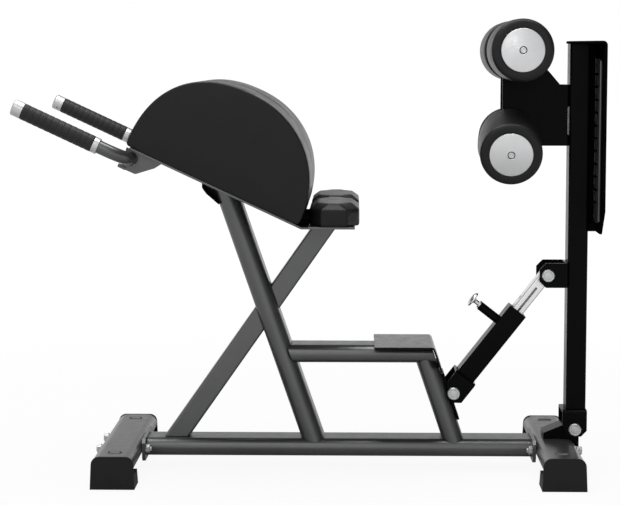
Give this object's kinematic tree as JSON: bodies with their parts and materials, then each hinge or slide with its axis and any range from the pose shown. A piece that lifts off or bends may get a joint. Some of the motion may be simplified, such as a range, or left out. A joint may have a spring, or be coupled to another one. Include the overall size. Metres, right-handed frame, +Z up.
{
  "type": "glute ham developer",
  "caption": "Floor-standing gym bench with a split half-moon thigh pad, knee pads and handles, and a tilting column with ankle rollers and a foot plate.",
  "frame": {"origin": "on the floor, under the middle of the machine's length and width", "axes": "+X along the main beam from the handles to the foot plate, +Y away from the picture's near side, +Z up"},
  "size_m": [1.4252, 0.681, 1.1328],
  "materials": {
    "frame_paint": "satin",
    "black_paint": "satin",
    "step_paint": "gloss",
    "rubber": "matte",
    "bright_steel": "satin",
    "satin_aluminium": "satin",
    "axle_steel": "satin",
    "chrome": "gloss",
    "plastic": "matte",
    "vinyl": "satin",
    "roller_foam": "matte"
  },
  "bodies": {
    "frame": {"arm_anchor": "black_paint", "arm_pivot_bolt": "bright_steel", "boot_left_far": "rubber", "boot_left_near": "rubber", "boot_right_far": "rubber", "boot_right_near": "rubber", "brace_lower": "frame_paint", "brace_upper": "frame_paint", "column_anchor": "black_paint", "column_pivot_bolt": "bright_steel", "front_leg": "frame_paint", "grip_cap_far": "satin_aluminium", "grip_cap_near": "satin_aluminium", "grip_collar_far": "satin_aluminium", "grip_collar_near": "satin_aluminium", "grip_far": "rubber", "grip_near": "rubber", "handle_bar": "frame_paint", "handle_bracket_far": "frame_paint", "handle_bracket_near": "frame_paint", "knee_pad_far": "vinyl", "knee_pad_near": "vinyl", "left_foot_tube": "frame_paint", "main_beam": "frame_paint", "pad_gusset": "black_paint", "pad_plate": "frame_paint", "right_foot_tube": "frame_paint", "short_leg": "frame_paint", "step_beam": "frame_paint", "step_plate": "step_paint", "thigh_pad_far": "vinyl", "thigh_pad_near": "vinyl", "through_bolt_left_far": "bright_steel", "through_bolt_left_near": "bright_steel", "through_bolt_right_far": "bright_steel", "through_bolt_right_near": "bright_steel"},
    "column": {"column_tube": "black_paint", "column_fork": "black_paint", "arm_clevis": "black_paint", "clevis_bolt": "bright_steel", "foot_plate": "black_paint", "foot_plate_stay": "black_paint", "tread_mat": "rubber", "roller_carriage": "black_paint", "upper_axle": "axle_steel", "lower_axle": "axle_steel"},
    "arm": {"arm_fork": "black_paint", "arm_outer_tube": "black_paint", "arm_bush": "plastic"},
    "arm_slider": {"arm_inner_tube": "chrome"},
    "pin": {"pull_pin": "chrome"},
    "roller_upper_near": {"foam_roller_upper_near": "roller_foam", "hub_cap_upper_near": "satin_aluminium"},
    "roller_upper_far": {"foam_roller_upper_far": "roller_foam", "hub_cap_upper_far": "satin_aluminium"},
    "roller_lower_near": {"foam_roller_lower_near": "roller_foam", "hub_cap_lower_near": "satin_aluminium"},
    "roller_lower_far": {"foam_roller_lower_far": "roller_foam", "hub_cap_lower_far": "satin_aluminium"}
  },
  "joints": [
    {"name": "column_tilt", "type": "hinge", "parent": "frame", "child": "column", "pos_m": [0.6559, 0, 0.1069], "axis": [0, 1, 0], "range_deg": [-14.9, 5]},
    {"name": "arm_swing", "type": "hinge", "parent": "frame", "child": "arm", "pos_m": [0.35056, 0, 0.19771], "axis": [0, 1, 0], "range_deg": [-11, 3.8]},
    {"name": "arm_slide", "type": "slide", "parent": "arm", "child": "arm_slider", "axis": [0.6165, 0, 0.7874], "range_m": [-0.0795, 0.0265]},
    {"name": "pin_pull", "type": "slide", "parent": "arm", "child": "pin", "axis": [-0.7874, 0, 0.6165], "range_m": [0, 0.012], "stiffness_N_per_m": 800, "springref_m": -0.01},
    {"name": "spin_upper_near", "type": "hinge", "parent": "column", "child": "roller_upper_near", "pos_m": [0.5015, -0.1295, 1.0573], "axis": [0, -1, 0], "continuous": true},
    {"name": "spin_upper_far", "type": "hinge", "parent": "column", "child": "roller_upper_far", "pos_m": [0.5015, 0.1295, 1.0573], "axis": [0, 1, 0], "continuous": true},
    {"name": "spin_lower_near", "type": "hinge", "parent": "column", "child": "roller_lower_near", "pos_m": [0.48009, -0.13449, 0.8245], "axis": [-0.0497, -0.9817, -0.184], "continuous": true},
    {"name": "spin_lower_far", "type": "hinge", "parent": "column", "child": "roller_lower_far", "pos_m": [0.49371, 0.13449, 0.8245], "axis": [0.0497, 0.9817, -0.184], "continuous": true}
  ],
  "couplings": [
    {"joint": "arm_swing", "follows": "column_tilt", "ratio": 0.725},
    {"joint": "arm_slide", "follows": "column_tilt", "m_per_rad": 0.302}
  ]
}
